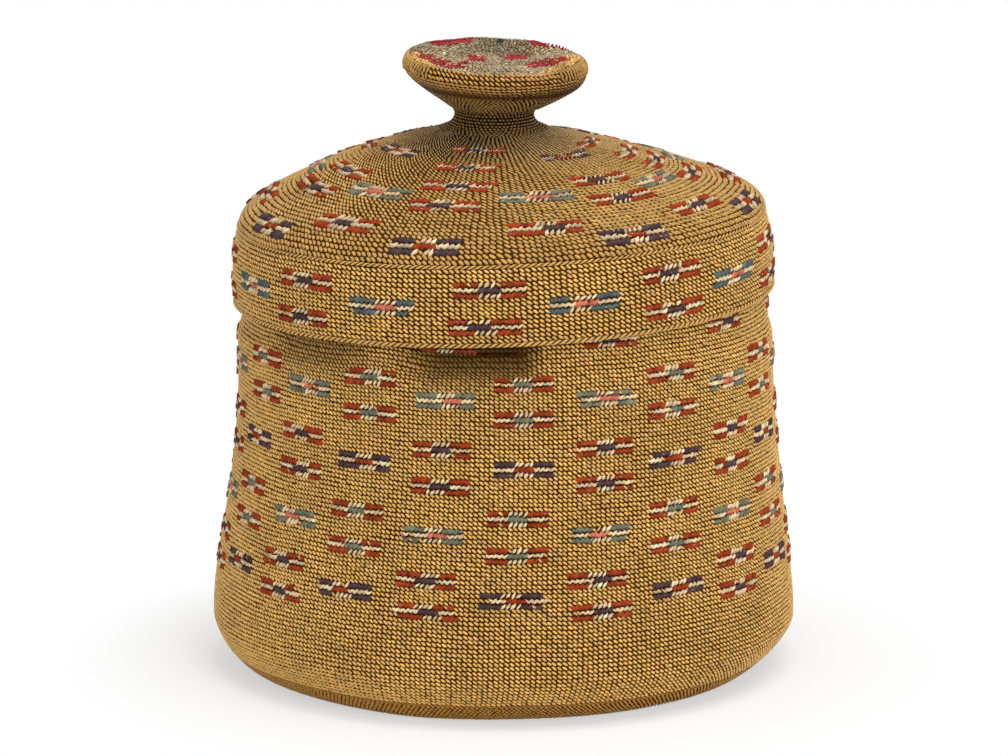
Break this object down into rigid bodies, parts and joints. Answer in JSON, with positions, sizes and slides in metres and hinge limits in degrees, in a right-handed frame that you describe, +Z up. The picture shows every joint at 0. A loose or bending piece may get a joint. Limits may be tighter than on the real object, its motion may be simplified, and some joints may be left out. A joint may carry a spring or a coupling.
{
  "type": "lidded grass basket",
  "caption": "Finely twined grass basket with a tapering round body and a lift-off domed lid topped by a waisted, dished knob.",
  "frame": {"origin": "centre of the flat underside, on the surface the basket stands on", "axes": "+Z up through the knob; -Y towards the viewer of the picture; +X to that viewer's right"},
  "size_m": [0.168, 0.168, 0.177],
  "materials": {
    "grass_straw": "split grass, golden straw, matt with a faint sheen",
    "grass_cord": "twisted grass cord, darker straw",
    "dome_grass": "split grass, faded and slightly grey",
    "neck_grass": "split grass, darkened by handling",
    "knob_grass": "split grass, golden brown",
    "dusty_grass": "split grass, faded and dusty"
  },
  "bodies": {
    "basket": {"base": "grass_straw", "foot_cord": "grass_cord", "wall": "grass_straw", "mouth_border": "grass_cord"},
    "lid": {"lid_skirt": "grass_straw", "lid_edge_cord": "grass_cord", "shoulder_cord": "grass_cord", "lid_dome": "dome_grass", "knob_neck": "neck_grass", "knob_bowl": "knob_grass", "knob_rim_cord": "knob_grass", "knob_top": "dusty_grass"}
  },
  "joints": [
    {"name": "lid_lift", "type": "slide", "parent": "basket", "child": "lid", "axis": [0, 0, 1], "range_m": [0, 0.15]}
  ]
}
